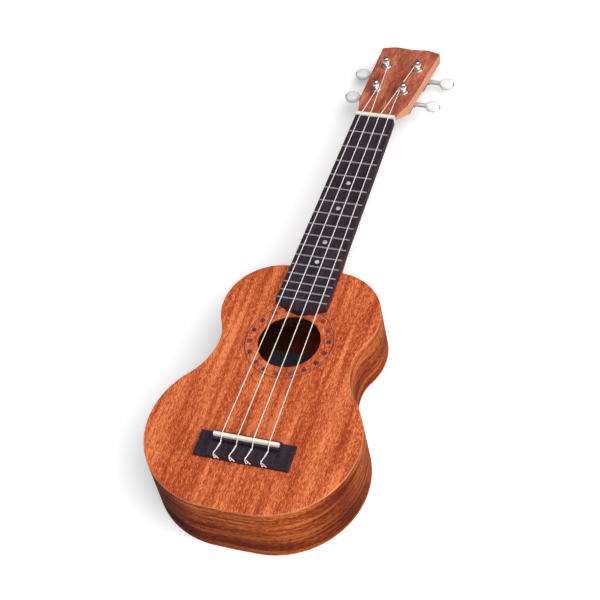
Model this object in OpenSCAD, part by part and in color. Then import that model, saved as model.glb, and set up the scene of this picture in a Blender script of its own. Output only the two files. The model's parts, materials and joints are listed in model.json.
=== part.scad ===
// Soprano ukulele, lying on its back.
// Row frame: +X to the treble side, +Y from body to headstock, +Z up out of the back.
// Instrument frame (used inside place()): z = 0 is the soundboard's top face and y = 0 is the
// nut's edge at the fretboard, so y is negative over the fretboard and the body.

/* [Scale and strings] */
// Distance from the nut to the saddle before compensation
scale_length = 346; // [343:0.5:348]
// Extra string length at the saddle
compensation = 2.5; // [2:0.5:4]
// Spacing of the strings at the nut
nut_spacing = 8.5; // [7.5:0.1:9]
// Spacing of the strings at the saddle
saddle_spacing = 13.1; // [12:0.1:13.5]
// Radius of the nylon strings
string_r = 0.36; // [0.3:0.01:0.38]

/* [Body] */
// Depth of the body at the tail, top face to back face
depth_tail = 58.5; // [58:0.5:60]
// Depth of the body at the neck end, top face to back face
depth_neck = 48.5; // [47:0.5:50]
// Half width of the lower bout
lower_half = 87.6; // [86:0.2:89]
// Half width of the waist
waist_half = 56.9; // [56:0.1:58]
// Half width of the upper bout
upper_half = 67.2; // [66:0.1:68]
// Radius of the lower bout's curve
lower_r = 70.5; // [69:0.5:72]
// Radius of the upper bout's curve
upper_r = 45.9; // [45:0.1:47]
// Radius of the sound hole
hole_r = 25.8; // [24:0.1:26.5]

/* [Plates and ribs] */
// Thickness of the soundboard
top_t = 2.0; // [1.8:0.1:2.4]
// Thickness of the back plate
back_t = 2.2; // [1.8:0.1:2.4]
// Thickness of the bent sides
side_t = 1.8; // [1.5:0.1:2.1]

/* [Fretboard and neck] */
// Thickness of the fretboard
board_t = 6.5; // [6:0.1:7]
// Width of the fretboard at the nut
nut_width = 35; // [34.5:0.1:36]
// Width of the fretboard at the twelfth fret
width_12 = 42; // [41:0.1:42.5]
// Number of frets
fret_count = 16; // [12:1:16]
// Thickness of the neck's wood at the nut
neck_t = 12; // [11:0.2:12.6]

/* [Headstock and tuners] */
// Backward tilt of the headstock
tilt = 12; // [10:0.5:12.5]
// Thickness of the headstock
head_t = 9.5; // [9:0.1:10]
// Radius of a string post
post_r = 2.6; // [2.4:0.05:2.6]

/* [Hidden] */
$fn = 48;

// Glue line and assembly gap between neighbouring pieces
gap = 0.02;
// Running clearance on a radius
run = 0.05;
// A length that is longer than anything it cuts
far = 400;

// ---- Body outline -------------------------------------------------------------------------
// The bouts' widest points and the waist's narrowest point along the body
lower_y = -338.4;
upper_y = -216.2;
waist_y = -255.8;
// How far the tail's middle stands behind the lower bout's circles
tail_rise = 0.3;
arc_step = 3;

lower_x = lower_half - lower_r;
upper_x = upper_half - upper_r;
tail_y = lower_y - lower_r - tail_rise;
neck_end_y = upper_y + upper_r;
body_length = neck_end_y - tail_y;

// Radius of the waist curve that passes waist_half and touches a bout's circle
function waist_radius(x, y, r) =
    let (a = waist_half - x, b = waist_y - y) (a * a + b * b - r * r) / (2 * (r - a));
waist_low_r = waist_radius(lower_x, lower_y, lower_r);
waist_up_r = waist_radius(upper_x, upper_y, upper_r);
// Radius of the shallow tail curve that touches both lower circles
tail_r = (lower_x * lower_x + pow(lower_r + tail_rise, 2) - lower_r * lower_r) / (2 * tail_rise);
tail_half_angle = asin(lower_x / (tail_r - lower_r));
waist_low_angle = atan2(waist_y - lower_y, waist_half + waist_low_r - lower_x);
waist_up_angle = atan2(upper_y - waist_y, waist_half + waist_up_r - upper_x);

function arc(cx, cy, r, a0, a1) =
    let (n = max(1, ceil(abs(a1 - a0) / arc_step)))
    [for (i = [0 : n]) let (a = a0 + (a1 - a0) * i / n) [cx + r * cos(a), cy + r * sin(a)]];

// Right half of the outline from the neck end to the tail, moved inward by t
function half_outline(t) = concat(
    [[0, neck_end_y - t]],
    arc(upper_x, upper_y, upper_r - t, 90, -waist_up_angle),
    arc(waist_half + waist_up_r, waist_y, waist_up_r + t, 180 - waist_up_angle, 180),
    arc(waist_half + waist_low_r, waist_y, waist_low_r + t, 180, 180 + waist_low_angle),
    arc(lower_x, lower_y, lower_r - t, waist_low_angle, -90 + tail_half_angle),
    arc(0, tail_y + tail_r, tail_r - t, -90 + tail_half_angle, -90));

// Points without the doubles where two arcs meet
function clean(p) = [for (i = [0 : len(p) - 1]) if (i == 0 || norm(p[i] - p[i - 1]) > 0.001) p[i]];

module outline(t = 0) {
    half = clean(half_outline(t));
    n = len(half);
    polygon(concat(half, [for (i = [n - 2 : -1 : 1]) [-half[i][0], half[i][1]]]));
}

// ---- Frames -------------------------------------------------------------------------------
// The back is not parallel to the top: this angle brings the back level
taper = atan((depth_tail - depth_neck) / body_length);
mid_y = (tail_y + neck_end_y) / 2;
mid_depth = (depth_tail + depth_neck) / 2;

// From the instrument frame to the row frame
module place() {
    translate([0, -mid_y * cos(taper) + mid_depth * sin(taper), mid_y * sin(taper) + mid_depth * cos(taper)])
        rotate([-taper, 0, 0])
            children();
}

// Height of the headstock's face over the soundboard plane at y = 0
head_rise = board_t + gap - 1.5;
board_z = board_t + gap;

// Headstock frame: y runs up the face from y = 0, z stands out of the face
module head_frame() {
    translate([0, 0, head_rise])
        rotate([-tilt, 0, 0])
            children();
}

// Everything above a height in the row frame
module above(z) {
    translate([-far / 2, -far / 2, z]) cube(far);
}

// Everything between two heights in the row frame
module between(z0, z1) {
    translate([-far / 2, -far / 2, z0]) cube([far, far, z1 - z0]);
}

// ---- Shared colours -----------------------------------------------------------------------
top_wood = [0.72, 0.36, 0.17];
side_wood = [0.52, 0.25, 0.13];
neck_wood = [0.60, 0.27, 0.14];
inner_wood = [0.42, 0.24, 0.14];
black_wood = [0.12, 0.08, 0.09];
cream = [0.94, 0.90, 0.80];
metal = [0.80, 0.81, 0.83];
dark_metal = [0.45, 0.46, 0.48];
pearl = [0.94, 0.93, 0.90];
nylon = [0.92, 0.88, 0.84];

// ---- Sound box ----------------------------------------------------------------------------
hole_y = -246.5;
tile_r = 32.6;
tile_count = 18;
tile_size = 3.8;
inlay_depth = 0.8;
ring_width = 0.5;
ring_r = 36.4;
// Turn of the first square from the +x axis
tile_turn = 10;

// The thin line round the squares; grow is its clearance
module ring_2d(grow = 0) {
    difference() {
        circle(ring_r + ring_width / 2 + grow, $fn = 96);
        circle(ring_r - ring_width / 2 - grow, $fn = 96);
    }
}

// The rosette's squares, each with a side facing the hole; grow is their clearance
module tiles_2d(grow = 0) {
    for (i = [0 : tile_count - 1])
        rotate(i * 360 / tile_count + tile_turn)
            translate([tile_r, 0])
                square(tile_size + 2 * grow, center = true);
}

module soundboard() {
    color(top_wood) place() difference() {
        translate([0, 0, -top_t]) linear_extrude(top_t) outline();
        translate([0, hole_y, -top_t - 1]) cylinder(h = top_t + 2, r = hole_r, $fn = 96);
        translate([0, hole_y, -inlay_depth]) linear_extrude(inlay_depth + 1) {
            tiles_2d(gap);
            ring_2d(gap);
        }
    }
}

module rosette_tiles() {
    color([0.25, 0.13, 0.12]) place()
        translate([0, hole_y, -inlay_depth + gap]) linear_extrude(inlay_depth - gap) tiles_2d();
}

module rosette_ring() {
    color([0.20, 0.11, 0.09]) place()
        translate([0, hole_y, -inlay_depth + gap]) linear_extrude(inlay_depth - gap) ring_2d();
}

module back() {
    color(side_wood) intersection() {
        place() translate([0, 0, -depth_tail - 20]) linear_extrude(depth_tail) outline();
        between(0, back_t);
    }
}

dowel_r = 3.5;
dowel_x = 8;
dowel_z = -13;
dowel_half = 11;

// Dowels or their holes, from inside the neck block to inside the heel
module dowels(r, half_length) {
    for (s = [-1, 1])
        translate([s * dowel_x, neck_end_y - half_length, dowel_z])
            rotate([-90, 0, 0]) cylinder(h = 2 * half_length, r = r);
}

// One rib; side is -1 for bass and 1 for treble
module rib(side) {
    color(side_wood) intersection() {
        place() difference() {
            translate([0, 0, -top_t - gap - depth_tail - 20]) linear_extrude(depth_tail + 20) {
                intersection() {
                    difference() {
                        outline();
                        outline(side_t);
                    }
                    translate([side > 0 ? gap / 2 : -far - gap / 2, -far - 100]) square([far, far]);
                }
            }
            dowels(dowel_r, dowel_half + 1);
        }
        above(back_t + gap);
    }
}

lining_w = 4;
lining_h = 6;
block_half = 24;
neck_block_l = 20;
tail_block_half = 18;
tail_block_l = 10;
inner_t = side_t + gap;

// The strip along the inside of the ribs, open at the two blocks
module lining_2d() {
    difference() {
        outline(inner_t);
        outline(inner_t + lining_w);
        translate([-block_half - 1, neck_end_y - neck_block_l - 1]) square([2 * block_half + 2, far]);
        translate([-tail_block_half - 1, tail_y - 1]) square([2 * tail_block_half + 2, 20]);
    }
}

module top_linings() {
    color(inner_wood) place()
        translate([0, 0, -top_t - gap - lining_h]) linear_extrude(lining_h) lining_2d();
}

module back_linings() {
    color(inner_wood) intersection() {
        place() translate([0, 0, -depth_tail - 20]) linear_extrude(depth_tail) lining_2d();
        between(back_t + gap, back_t + gap + lining_h);
    }
}

// A block that fills the box's height inside the ribs, over the rectangle given
module inner_block(half, y0, y1) {
    intersection() {
        place() translate([0, 0, -top_t - gap - depth_tail - 20]) linear_extrude(depth_tail + 20)
            intersection() {
                outline(inner_t);
                translate([-half, y0]) square([2 * half, y1 - y0]);
            }
        above(back_t + gap);
    }
}

module neck_block() {
    color(inner_wood) difference() {
        inner_block(block_half, neck_end_y - neck_block_l, neck_end_y);
        place() dowels(dowel_r, dowel_half + 0.5);
    }
}

module tail_block() {
    color(inner_wood) inner_block(tail_block_half, tail_y, tail_y + tail_block_l);
}

brace_w = 6;
brace_h = 7;
upper_brace_y = -206;
lower_brace_y = -282;
fan_h = 4;

// A bar under the top, rounded along its free edge and ending at the linings
module top_brace(y) {
    color(inner_wood) place() intersection() {
        translate([-far / 2, y, -top_t - gap])
            rotate([0, 90, 0]) linear_extrude(far) {
                square([brace_h - brace_w / 2, brace_w / 2]);
                translate([0, -brace_w / 2]) square([brace_h - brace_w / 2, brace_w]);
                translate([brace_h - brace_w / 2, 0]) circle(brace_w / 2);
            }
        translate([0, 0, -20]) linear_extrude(40) outline(inner_t + lining_w + gap);
    }
}

module upper_brace() { top_brace(upper_brace_y); }
module lower_brace() { top_brace(lower_brace_y); }

// How far the plate reaches past the bridge, behind it and in front of it
plate_behind = 5;
plate_before = 2.8;
plate_half = 45;
plate_t = 2;

module fan_braces() {
    color(inner_wood) place()
        for (a = [-12, 0, 12])
            translate([0, lower_brace_y - brace_w / 2 - gap, -top_t - gap - fan_h])
                translate([a * 2.2, -52, 0]) rotate(a) translate([-2.5, 0, 0]) cube([5, 48, fan_h]);
}

module bridge_plate() {
    color(inner_wood) place()
        translate([-plate_half, bridge_y0 - plate_behind, -top_t - gap - plate_t])
            cube([2 * plate_half, bridge_y1 - bridge_y0 + plate_behind + plate_before, plate_t]);
}

back_brace_ys = [-196, -330];

// Row-frame y of a point on the back plane under instrument y
function back_row_y(y) = (y - mid_y) / cos(taper);

module back_braces() {
    color(inner_wood) intersection() {
        for (y = back_brace_ys)
            translate([-far / 2, back_row_y(y) - brace_w / 2, back_t + gap]) cube([far, brace_w, brace_h]);
        place() translate([0, 0, -depth_tail - 20]) linear_extrude(depth_tail)
            outline(inner_t + lining_w + gap);
    }
}

label_y = -243;
label_size = [62, 38];
label_t = 0.15;

module label() {
    color([0.80, 0.82, 0.84])
        translate([-label_size[0] / 2, back_row_y(label_y) - label_size[1] / 2, back_t + gap])
            cube([label_size[0], label_size[1], label_t]);
}

// ---- Neck ---------------------------------------------------------------------------------
neck_slope = (width_12 - nut_width) / scale_length;
function board_half(y) = nut_width / 2 - y * neck_slope;
heel_start = -132;
heel_extra = 23;
heel_taper = 0.42;
neck_fall = 2;
nut_l = 4.3;
head_start_y = nut_l + gap;
// Where the neck's back line meets the headstock's back
merge_y = 34;

function heel_s(y) = max(0, (heel_start - y) / (heel_start - neck_end_y));
function neck_depth(y) = neck_t + neck_fall * max(0, -y) / -neck_end_y + heel_extra * pow(heel_s(y), 2.4);
// Beyond the nut the neck's top drops under the headstock's face
function neck_top(y) = y <= head_start_y ? 0 : -1.2 - (y - head_start_y) * 0.12;
function neck_half(y) = board_half(min(y, 0)) - 0.2 - max(0, y) * 0.12;

profile_n = 20;
// Power of the profile's sides: over 1 they fall away from the fretboard's edge faster than an oval's
side_power = 1.1;
// One cross-section at y, from the treble edge round the back to the bass edge
function neck_section(y) =
    let (h = neck_half(y), top = neck_top(y), d = neck_depth(y) + top)
    [for (i = [0 : profile_n])
        let (a = 180 * i / profile_n, narrow = 1 - heel_taper * heel_s(y) * pow(sin(a), 2))
        [h * narrow * sign(cos(a)) * pow(abs(cos(a)), side_power), y, top - d * sin(a)]];

neck_ys = concat(
    [neck_end_y + gap],
    [for (i = [1 : 12]) neck_end_y + (heel_start - neck_end_y) * i / 12],
    [0, head_start_y, head_start_y + 0.01],
    [for (i = [1 : 5]) head_start_y + (merge_y - head_start_y) * i / 5]);

module neck_loft() {
    m = profile_n + 1;
    rows = len(neck_ys);
    polyhedron(
        points = [for (y = neck_ys) each neck_section(y)],
        faces = concat(
            [[for (i = [0 : m - 1]) i]],
            [[for (i = [m - 1 : -1 : 0]) (rows - 1) * m + i]],
            [for (r = [0 : rows - 2], i = [0 : m - 1])
                let (j = (i + 1) % m) each [
                    [r * m + i, (r + 1) * m + i, (r + 1) * m + j],
                    [r * m + i, (r + 1) * m + j, r * m + j]]]));
}

head_half_low = 22.7;
head_low_v = 25.5;
head_half_top = 27.3;
head_top_v = 114.6;
wave_half = 0.65;
crest_x = 14.4;
corner_drop = 4;

// Right half of the headstock's face, from the nut to the middle of the wavy top edge
function flare(v) = let (s = (v - head_start_y) / (head_low_v - head_start_y))
    nut_width / 2 + (head_half_low - nut_width / 2) * (0.75 * s + 0.25 * s * s);
function head_top(x) = x < crest_x ? head_top_v - wave_half * cos(180 * x / crest_x)
    : head_top_v + wave_half - corner_drop * pow((x - crest_x) / (head_half_top - crest_x), 1.4);
head_right = concat(
    [for (i = [0 : 4]) let (v = head_start_y + (head_low_v - head_start_y) * i / 4) [flare(v), v]],
    [for (i = [0 : 13]) let (x = head_half_top * (1 - i / 13)) [x, head_top(x)]]);

module head_2d() {
    n = len(head_right);
    polygon(concat([[nut_width / 2, -20]], head_right,
        [for (i = [n - 2 : -1 : 0]) [-head_right[i][0], head_right[i][1]]], [[-nut_width / 2, -20]]));
}

// Depth of the headstock's side at the nut, and the width left under it there
side_at_nut = 3.2;
under_at_nut = 8;

// Room under the flare on the treble side, where the carver runs the square side into the round neck
module flare_cut() {
    corners = [[nut_width / 2, head_start_y, -side_at_nut], [under_at_nut, head_start_y, -head_t],
        [head_half_low, head_low_v - 1, -head_t]];
    middle = (corners[0] + corners[1] + corners[2]) / 3;
    polyhedron(
        points = concat([for (c = corners) middle + 4 * (c - middle)], [middle + [40, -20, -60]]),
        faces = [[0, 1, 2], [0, 3, 1], [1, 3, 2], [2, 3, 0]]);
}

module head() {
    intersection() {
        head_frame() difference() {
            translate([0, 0, -head_t]) linear_extrude(head_t) head_2d();
            for (s = [0, 1]) mirror([s, 0, 0]) flare_cut();
        }
        translate([-far / 2, head_start_y, -far / 2]) cube(far);
    }
}

module neck() {
    color(neck_wood) place() difference() {
        union() {
            neck_loft();
            head();
        }
        dowels(dowel_r, dowel_half + 1);
        for (i = [0 : 3]) at_tuner(i) {
            translate([0, 0, -head_t - 1]) cylinder(h = head_t + 2, r = boss_r + run);
            translate([0, -ear_y, -head_t - 1]) cylinder(h = screw_in + 1.5, r = case_screw_r + gap);
        }
    }
}

module neck_dowels() {
    color(inner_wood) place() dowels(dowel_r - gap, dowel_half);
}

// ---- Fretboard ----------------------------------------------------------------------------
function fret_y(n) = -scale_length * (1 - pow(2, -n / 12));
slot_w = 0.6;
tang_w = 0.54;
tang_h = 1.8;
crown_r = 0.95;
crown_h = 0.7;
dot_r = 2.0;
dot_h = 1.2;
dot_frets = [5, 7, 10, 12];
// The fretboard's end: its two corners and the blunt point between them
board_end_y = -212.3;
board_tip_y = -220.2;

// Half of the shaped end, x from the middle
function tongue_y(x) =
    board_tip_y + (board_end_y - board_tip_y) * pow(x / board_half(board_end_y), 1.25);
tongue_n = 10;

module board_2d() {
    h = board_half(board_end_y);
    polygon(concat(
        [[-board_half(0), -gap], [board_half(0), -gap]],
        [for (i = [0 : tongue_n]) let (x = h * (1 - i / tongue_n)) [x, tongue_y(x)]],
        [for (i = [1 : tongue_n]) let (x = h * i / tongue_n) [-x, tongue_y(x)]]));
}

module dots(r, h) {
    for (n = dot_frets)
        translate([0, (fret_y(n) + fret_y(n - 1)) / 2, board_z - h]) cylinder(h = h, r = r);
}

module fretboard() {
    color(black_wood) place() difference() {
        translate([0, 0, gap]) linear_extrude(board_t) board_2d();
        for (n = [1 : fret_count])
            translate([-far / 2, fret_y(n) - slot_w / 2, board_z - tang_h - 0.1]) cube([far, slot_w, far]);
        translate([0, 0, 1]) dots(dot_r + gap, dot_h + 1 + gap);
    }
}

module fret_2d() {
    translate([-tang_w / 2, -tang_h]) square([tang_w, tang_h + 0.2]);
    intersection() {
        translate([0, crown_h - crown_r]) circle(crown_r);
        translate([-crown_r, gap]) square([2 * crown_r, crown_r]);
    }
}

module frets() {
    color(metal) place()
        for (n = [1 : fret_count]) let (half = board_half(fret_y(n)) - 0.4)
            translate([-half, fret_y(n), board_z])
                rotate([90, 0, 90]) linear_extrude(2 * half) fret_2d();
}

module position_dots() {
    color(pearl) place() dots(dot_r, dot_h);
}

// ---- Strings' course ----------------------------------------------------------------------
saddle_y = -scale_length - compensation;
saddle_t = 3.2;
saddle_half = 27;
saddle_top = 9.7;
saddle_round = saddle_t / 2;
string_nut_z = board_z + 1.4;
bridge_y0 = saddle_y - 18.5;
bridge_y1 = saddle_y + 4.7;
tie_y = saddle_y - 7.9;
tie_z = 6.6;
hole_z = 4.4;
// Tuner positions: string index 0 to 3 is G, C, E, A from the bass side
tuner_side = [-1, -1, 1, 1];
tuner_x = [12.7, 14.9, 14.9, 12.7];
tuner_v = [44.5, 82.15, 82.15, 44.5];
waist_r = 2.2;
coil_r = waist_r + run + string_r;

// A point of the headstock frame in the instrument frame
function head_point(x, v, w) =
    [x, v * cos(tilt) + w * sin(tilt), head_rise - v * sin(tilt) + w * cos(tilt)];
function nut_x(i) = (i - 1.5) * nut_spacing;
function saddle_x(i) = (i - 1.5) * saddle_spacing;

// Where the string's straight run meets its coil: an angle round the post, seen in the headstock frame
function post_centre(i) = [tuner_side[i] * tuner_x[i], tuner_v[i]];
function touch_angle(i) = let (d = post_centre(i) - [nut_x(i), 4])
    atan2(d[1], d[0]) - tuner_side[i] * (90 - asin(coil_r / norm(d))) + 180;
function coil_point(i, a, w) = let (c = post_centre(i))
    head_point(c[0] + coil_r * cos(a), c[1] + coil_r * sin(a), w);

// Turns of the string on its post, from the free end down to the straight run
coil_turns = 2.25;
coil_pitch = 2 * string_r + 0.06;
coil_low = 3.85;
coil_steps = 16;
function coil(i) = [for (k = [coil_turns * coil_steps : -1 : 0])
    coil_point(i, touch_angle(i) - tuner_side[i] * k * 360 / coil_steps, coil_low + coil_pitch * k / coil_steps)];

// Round the saddle's crest on a circle that clears it
wrap_r = saddle_round + string_r + 0.03;
wrap_z = saddle_top - saddle_round;
function over_saddle(x) = [for (a = [0 : 9 : 36]) [x, saddle_y - wrap_r * sin(a), wrap_z + wrap_r * cos(a)]];

// From the hole in the tie block, up its rear face, over its top and under the string itself
function knot(x) = [
    [x, tie_y, hole_z],
    [x, bridge_y0 - 0.6, hole_z],
    [x - 1.0, bridge_y0 - 0.6, tie_z - 0.5],
    [x - 1.7, bridge_y0 + 0.9, tie_z + 0.55],
    [x - 0.5, tie_y - 0.7, tie_z + 0.45],
    [x, tie_y + 0.7, tie_z + 0.3],
    [x + 0.6, tie_y - 0.4, tie_z + 0.8],
    [x - 1.4, bridge_y0 + 2.0, tie_z + 1.2],
    [x - 0.9, bridge_y0 + 0.3, tie_z + 1.1],
    [x + 2.0, bridge_y0 - 1.5, tie_z + 0.7],
    [x + 3.7, bridge_y0 - 2.6, tie_z + 0.2]];

nut_bend_y = -0.1;
function nut_point(i) = [nut_x(i), nut_bend_y, string_nut_z];
function course(i) = concat(coil(i), [nut_point(i)], over_saddle(saddle_x(i)), knot(saddle_x(i)));

// Sides of the string's cross-section
cord_n = 8;
function unit(v) = v / norm(v);
// Direction of the path at point k
function heading(p, k) = unit((k < len(p) - 1 ? unit(p[k + 1] - p[k]) : [0, 0, 0])
    + (k > 0 ? unit(p[k] - p[k - 1]) : [0, 0, 0]));
// A sideways vector carried along the path so that the section doesn't twist
function sideways(p, k, last) = let (h = heading(p, k)) unit(last - h * (last * h));
function carry(p, k = 0, last = [0.3, 0.2, 1]) = k == len(p) ? [] :
    let (s = sideways(p, k, last)) concat([s], carry(p, k + 1, s));

// A thin round rod that follows a list of points, as one closed shape
module cord(p, r) {
    sides = carry(p);
    n = len(p);
    polyhedron(
        points = [for (k = [0 : n - 1])
            let (h = heading(p, k), s = sides[k], t = cross(h, s))
            for (j = [0 : cord_n - 1]) let (a = 360 * j / cord_n) p[k] + r * (s * cos(a) + t * sin(a))],
        faces = concat([[for (j = [0 : cord_n - 1]) j]],
            [[for (j = [cord_n - 1 : -1 : 0]) (n - 1) * cord_n + j]],
            [for (k = [0 : n - 2], j = [0 : cord_n - 1])
                let (q = (j + 1) % cord_n, a = k * cord_n, b = a + cord_n) each [
                    [a + j, b + j, b + q], [a + j, b + q, a + q]]]));
}

module string(i) {
    color(nylon) place() cord(course(i), string_r);
}

// ---- Nut, bridge and saddle ---------------------------------------------------------------
module nut() {
    color(cream) place() difference() {
        translate([-nut_width / 2, 0, 0]) rotate([90, 0, 90]) linear_extrude(nut_width)
            polygon([[0, gap], [nut_l, gap], [nut_l, string_nut_z - 1.0],
                [nut_l - 0.7, string_nut_z - 0.2], [nut_l - 2.2, string_nut_z + 0.2], [0, string_nut_z + 0.25]]);
        for (i = [0 : 3]) nut_slot(i);
    }
}

// Room for one string, along its run from the nut to its post
module nut_slot(i) {
    r = string_r + 0.03;
    run_end = coil(i)[coil_turns * coil_steps];
    d = run_end - nut_point(i);
    translate(nut_point(i))
        rotate([atan2(d[2], norm([d[0], d[1]])), 0, atan2(-d[0], d[1])]) {
            rotate([-90, 0, 0]) translate([0, 0, -2]) cylinder(h = nut_l + 5, r = r);
            translate([-r, -2, 0]) cube([2 * r, nut_l + 5, 4]);
        }
}

bridge_half = 39.2;
centre_half = 27.6;
wing_z = 3.6;
ridge_z = 6.2;
channel_z = 3.0;
ridge_end_y = saddle_y - 3.6;
saddle_floor = 2.4;

module bridge() {
    color(black_wood) place() difference() {
        union() {
            translate([-centre_half, 0, 0]) rotate([90, 0, 90]) linear_extrude(2 * centre_half)
                polygon([[bridge_y1, gap], [bridge_y1, ridge_z - 1.3], [bridge_y1 - 1.4, ridge_z],
                    [ridge_end_y, ridge_z], [ridge_end_y - 0.6, channel_z], [tie_y, channel_z],
                    [tie_y, tie_z - 0.5], [tie_y - 0.5, tie_z],
                    [bridge_y0 + 0.8, tie_z], [bridge_y0, tie_z - 0.8], [bridge_y0, gap]]);
            translate([-bridge_half, 0, 0]) rotate([90, 0, 90]) linear_extrude(2 * bridge_half)
                polygon([[bridge_y1, gap], [bridge_y1, wing_z - 1], [bridge_y1 - 1, wing_z],
                    [ridge_end_y, wing_z], [ridge_end_y - 0.5, channel_z], [tie_y, channel_z],
                    [tie_y - 0.5, wing_z], [bridge_y0 + 1, wing_z], [bridge_y0, wing_z - 1], [bridge_y0, gap]]);
        }
        translate([-saddle_half - gap, saddle_y - saddle_t / 2 - gap, saddle_floor])
            cube([2 * (saddle_half + gap), saddle_t + 2 * gap, far]);
        for (i = [0 : 3])
            translate([saddle_x(i), bridge_y0 - 1, hole_z]) rotate([-90, 0, 0])
                cylinder(h = tie_y - bridge_y0 + 2, r = string_r + 0.15);
    }
}

module saddle() {
    color(cream) place()
        translate([-saddle_half, saddle_y, 0]) rotate([90, 0, 90]) linear_extrude(2 * saddle_half) {
            translate([-saddle_t / 2, saddle_floor + gap]) square([saddle_t, wrap_z - saddle_floor - gap]);
            translate([0, wrap_z]) circle(saddle_round);
        }
}

// ---- Tuning machines ----------------------------------------------------------------------
// Tuner frame: origin on the headstock's face at the post, +x to the button, z out of the face
module at_tuner(i) {
    head_frame() translate([tuner_side[i] * tuner_x[i], tuner_v[i], 0])
        mirror([tuner_side[i] < 0 ? 1 : 0, 0, 0])
            children();
}

// The same piece of each of the four tuners
module each_tuner() {
    place() for (i = [0 : 3]) at_tuner(i) children();
}

gear_teeth = 14;
tooth_module = 0.5;
gear_pitch_r = gear_teeth * tooth_module / 2;
worm_pitch_r = 2.0;
centre_d = gear_pitch_r + worm_pitch_r;
worm_lead = PI * tooth_module;
worm_tip_r = 2.45;
worm_root_r = 1.5;
worm_turns = 4;
gear_tip_r = 4.0;
gear_root_r = 2.92;
gear_t = 4;
shaft_w = -head_t - 5.9;
shaft_r = 2.05;
case_wall = 1.2;
case_top = -head_t - gap;
case_low = shaft_w - 2.9;
cover_t = 1.1;
case_x = 6.4;
case_y0 = -6.0;
case_y1 = 9.4;
cave_x = 4.75;
neck_x = 8.7;
journal_r = 1.3;
boss_r = 4.1;
boss_in_r = 3.55;
boss_top = -4.2;
plate_low = case_top - case_wall;
barrel_r = 3.5;
ear_y = 9.0;
ear_t = 1.6;
ear_r = 2.5;
case_screw_r = 0.95;
screw_in = 5.5;

module rounded_2d(x0, x1, y0, y1, r) {
    translate([x0 + r, y0]) square([x1 - x0 - 2 * r, y1 - y0]);
    translate([x0, y0 + r]) square([x1 - x0, y1 - y0 - 2 * r]);
    for (x = [x0 + r, x1 - r], y = [y0 + r, y1 - r]) translate([x, y]) circle(r);
}

// A cylinder along +x on the worm's axis
module along_shaft(x0, x1, r) {
    translate([x0, centre_d, shaft_w]) rotate([0, 90, 0]) cylinder(h = x1 - x0, r = r);
}

module tuner_case(i) {
    color(metal) place() at_tuner(i) difference() {
        union() {
            translate([0, 0, case_low]) linear_extrude(case_top - case_low)
                rounded_2d(-case_x, case_x, case_y0, case_y1, 2.4);
            along_shaft(case_x - 1, neck_x, 2.85);
            translate([0, 0, case_top - 1]) cylinder(h = boss_top - case_top + 1, r = boss_r);
            translate([-ear_r, -ear_y, case_top - ear_t]) cube([2 * ear_r, ear_y - 5, ear_t]);
            translate([0, -ear_y, case_top - ear_t]) cylinder(h = ear_t, r = ear_r);
        }
        translate([0, 0, case_low - 1]) cylinder(h = plate_low - case_low + 1, r = gear_tip_r + 0.5);
        translate([-cave_x, 0, case_low - 1])
            cube([2 * cave_x, case_y1 - case_wall, shaft_w + worm_tip_r + 1.3 - case_low]);
        translate([0, 0, plate_low - 1]) cylinder(h = far, r = post_r + run);
        translate([0, 0, plate_low + 0.8]) cylinder(h = far, r = boss_in_r);
        along_shaft(-case_x + 0.5, 0, journal_r + run);
        along_shaft(0, neck_x + 1, shaft_r + run);
        translate([0, -ear_y, case_top - ear_t - 1]) cylinder(h = ear_t + 2, r = case_screw_r + 0.1);
    }
}

module tuner_covers() {
    color(metal) each_tuner()
        translate([0, 0, case_low - gap - cover_t]) linear_extrude(cover_t)
            rounded_2d(-case_x, case_x, case_y0, case_y1, 2.4);
}

washer_t = 0.7;
washer_r = 4.8;
hex_t = 2.0;
hex_r = 4.45;
barrel_low = plate_low + 1.0;

module bushings() {
    color(metal) each_tuner() difference() {
        union() {
            translate([0, 0, washer_t + 2 * gap]) cylinder(h = hex_t, r = hex_r, $fn = 6);
            translate([0, 0, barrel_low]) cylinder(h = washer_t + 2 * gap + 1 - barrel_low, r = barrel_r);
        }
        translate([0, 0, barrel_low - 1]) cylinder(h = far, r = post_r + run);
    }
}

module washers() {
    color(metal) each_tuner() translate([0, 0, gap]) difference() {
        cylinder(h = washer_t, r = washer_r);
        translate([0, 0, -1]) cylinder(h = washer_t + 2, r = barrel_r + 0.1);
    }
}

module case_screws() {
    color(metal) each_tuner() translate([0, -ear_y, case_top - ear_t]) difference() {
        union() {
            translate([0, 0, -1.1 - gap]) cylinder(h = 1.1, r = 1.9);
            translate([0, 0, -1.1]) cylinder(h = ear_t + screw_in, r = case_screw_r);
        }
        for (a = [0, 90]) rotate(a) translate([-1.2, -0.25, -1.6]) cube([2.4, 0.5, 1.1]);
    }
}

// Cross-section of the thread, as distances from the thread's middle and radii
thread_2d = [[-0.36, 1.42], [-0.17, worm_tip_r], [0.17, worm_tip_r], [0.36, 1.42]];
thread_steps = 16;

// Helical ridge along +x on the worm's axis; its crest faces the gear at x = 0
module thread() {
    n = worm_turns * thread_steps;
    translate([0, centre_d, shaft_w])
        polyhedron(
            points = [for (k = [0 : n], p = thread_2d)
                let (turn = k / thread_steps - worm_turns / 2, a = 180 + 360 * turn,
                    end = min(1, 0.35 + 0.65 * min(k, n - k) / 6),
                    r = 1.42 + (p[1] - 1.42) * end)
                [worm_lead * turn + p[0], r * cos(a), r * sin(a)]],
            faces = concat([[3, 2, 1, 0]], [[for (j = [0 : 3]) 4 * n + j]],
                [for (k = [0 : n - 1], j = [0 : 3]) let (q = (j + 1) % 4) each [
                    [4 * k + j, 4 * k + q, 4 * k + 4 + q],
                    [4 * k + j, 4 * k + 4 + q, 4 * k + 4 + j]]]));
}

button_x0 = 18.5;
button_len = 13;
button_wide = 14.5;
button_thick = 6.6;
stub_r = 1.5;
stub_x = 26;
pin_r = 0.9;

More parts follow.
